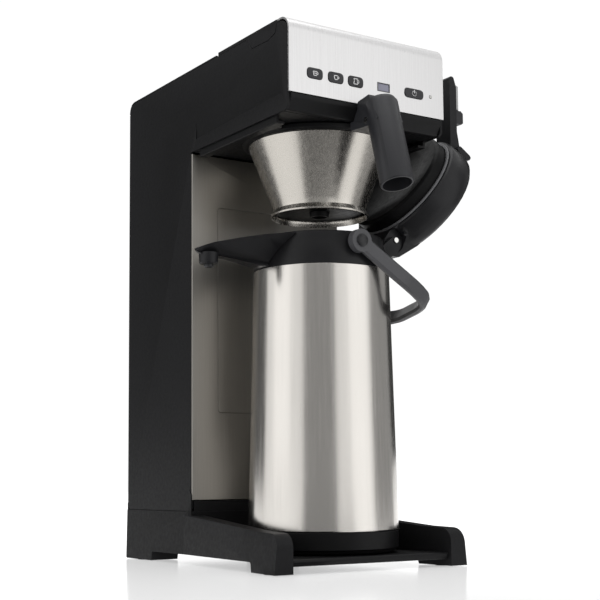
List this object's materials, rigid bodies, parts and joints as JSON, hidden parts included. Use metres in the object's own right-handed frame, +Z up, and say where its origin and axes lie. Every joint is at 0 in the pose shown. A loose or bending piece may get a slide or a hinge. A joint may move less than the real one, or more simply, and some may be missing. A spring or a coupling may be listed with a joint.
{
  "type": "drip coffee maker",
  "caption": "Commercial drip coffee maker: steel-fronted tower on a forked foot, conical filter basket with a hanging handle, and a pump flask with its lid open.",
  "frame": {"origin": "middle of the bounding box's underside, on the table under the rubber feet", "axes": "+Z up; -Y out of the front, the way the basket and the flask slide out; +X towards the flask's open lid, to the right as seen from the front"},
  "size_m": [0.3482, 0.4152, 0.5493],
  "materials": {
    "housing_plastic": "fine matt texture",
    "chassis_plastic": "smooth satin",
    "flask_plastic": "smooth satin",
    "handle_plastic": "smooth satin",
    "grey_plastic": "smooth satin",
    "button_plastic": "satin with printed symbols",
    "pale_plastic": "smooth",
    "front_steel": "vertical brushing",
    "column_steel": "vertical brushing",
    "flask_steel": "satin, turned",
    "cone_steel": "polished, fine vertical grain",
    "bright_metal": "polished",
    "rear_sheet": "satin paint",
    "foot_rubber": "matt",
    "seal_rubber": "matt",
    "display_plastic": "clear window over a grey display",
    "lamp_plastic": "frosted",
    "board": "lacquered board"
  },
  "bodies": {
    "machine": {"base_frame": "housing_plastic", "foot_pad_rear_left": "foot_rubber", "foot_pad_rear_right": "foot_rubber", "foot_pad_front_left": "foot_rubber", "foot_pad_front_right": "foot_rubber", "flask_plate": "chassis_plastic", "side_panel_left": "housing_plastic", "side_panel_right": "housing_plastic", "top_deck": "housing_plastic", "rear_cover": "rear_sheet", "power_inlet": "chassis_plastic", "column_front": "column_steel", "service_cover": "column_steel", "front_panel": "front_steel", "chin": "chassis_plastic", "brew_deck": "chassis_plastic", "spray_head": "chassis_plastic", "basket_rail_left": "chassis_plastic", "basket_rail_right": "chassis_plastic", "water_tank": "pale_plastic", "heater": "column_steel", "riser_pipe": "bright_metal", "fill_tray": "pale_plastic", "control_board": "board", "fill_lid_pin_left": "bright_metal", "fill_lid_pin_right": "bright_metal", "display_window": "display_plastic", "status_lamp": "lamp_plastic"},
    "fill_lid": {"fill_lid": "housing_plastic"},
    "cup_button_1": {"cup_button_1": "button_plastic"},
    "cup_button_2": {"cup_button_2": "button_plastic"},
    "cup_button_3": {"cup_button_3": "button_plastic"},
    "power_button": {"power_button": "button_plastic"},
    "basket": {"filter_cone": "cone_steel", "filter_rim": "chassis_plastic", "filter_funnel": "chassis_plastic", "filter_handle": "handle_plastic", "handle_screw": "bright_metal"},
    "flask": {"flask_foot": "chassis_plastic", "flask_shell": "flask_steel", "flask_liner": "flask_steel", "flask_collar": "flask_plastic", "lid_hinge_pin": "bright_metal", "spout": "flask_plastic", "spout_nozzle": "grey_plastic", "draw_tube": "bright_metal", "bail_cap_front": "grey_plastic", "bail_cap_rear": "grey_plastic"},
    "bail": {"bail_handle": "flask_plastic"},
    "flask_lid": {"lid_shell": "flask_plastic", "lid_plug": "grey_plastic", "lid_seal": "seal_rubber", "lever_pin": "bright_metal"},
    "lever": {"pump_lever": "flask_plastic", "lever_trim": "pale_plastic", "lever_latch": "grey_plastic"}
  },
  "joints": [
    {"name": "fill_lid_hinge", "type": "hinge", "parent": "machine", "child": "fill_lid", "pos_m": [-0.02305, -0.00925, 0.541], "axis": [-1, 0, 0], "range_deg": [0, 90]},
    {"name": "cup_button_1_press", "type": "slide", "parent": "machine", "child": "cup_button_1", "axis": [0, 1, 0], "range_m": [0, 0.0012], "stiffness_N_per_m": 300, "springref_m": -0.0006},
    {"name": "cup_button_2_press", "type": "slide", "parent": "machine", "child": "cup_button_2", "axis": [0, 1, 0], "range_m": [0, 0.0012], "stiffness_N_per_m": 300, "springref_m": -0.0006},
    {"name": "cup_button_3_press", "type": "slide", "parent": "machine", "child": "cup_button_3", "axis": [0, 1, 0], "range_m": [0, 0.0012], "stiffness_N_per_m": 300, "springref_m": -0.0006},
    {"name": "power_button_press", "type": "slide", "parent": "machine", "child": "power_button", "axis": [0, 1, 0], "range_m": [0, 0.0012], "stiffness_N_per_m": 300, "springref_m": -0.0006},
    {"name": "basket_slide", "type": "slide", "parent": "machine", "child": "basket", "axis": [0, -1, 0], "range_m": [0, 0.19]},
    {"name": "flask_slide", "type": "slide", "parent": "machine", "child": "flask", "axis": [0, -1, 0], "range_m": [0, 0.26]},
    {"name": "bail_hinge", "type": "hinge", "parent": "flask", "child": "bail", "pos_m": [-0.02655, -0.05775, 0.33], "axis": [0, -1, 0], "range_deg": [0, 24]},
    {"name": "flask_lid_hinge", "type": "hinge", "parent": "flask", "child": "flask_lid", "pos_m": [0.05295, -0.05775, 0.3455], "axis": [0, -1, 0], "range_deg": [0, 9]},
    {"name": "lever_press", "type": "hinge", "parent": "flask_lid", "child": "lever", "pos_m": [0.10333, -0.05775, 0.37906], "axis": [0, -1, 0], "range_deg": [0, 3], "stiffness_Nm_per_rad": 3, "springref_deg": -1.72}
  ]
}
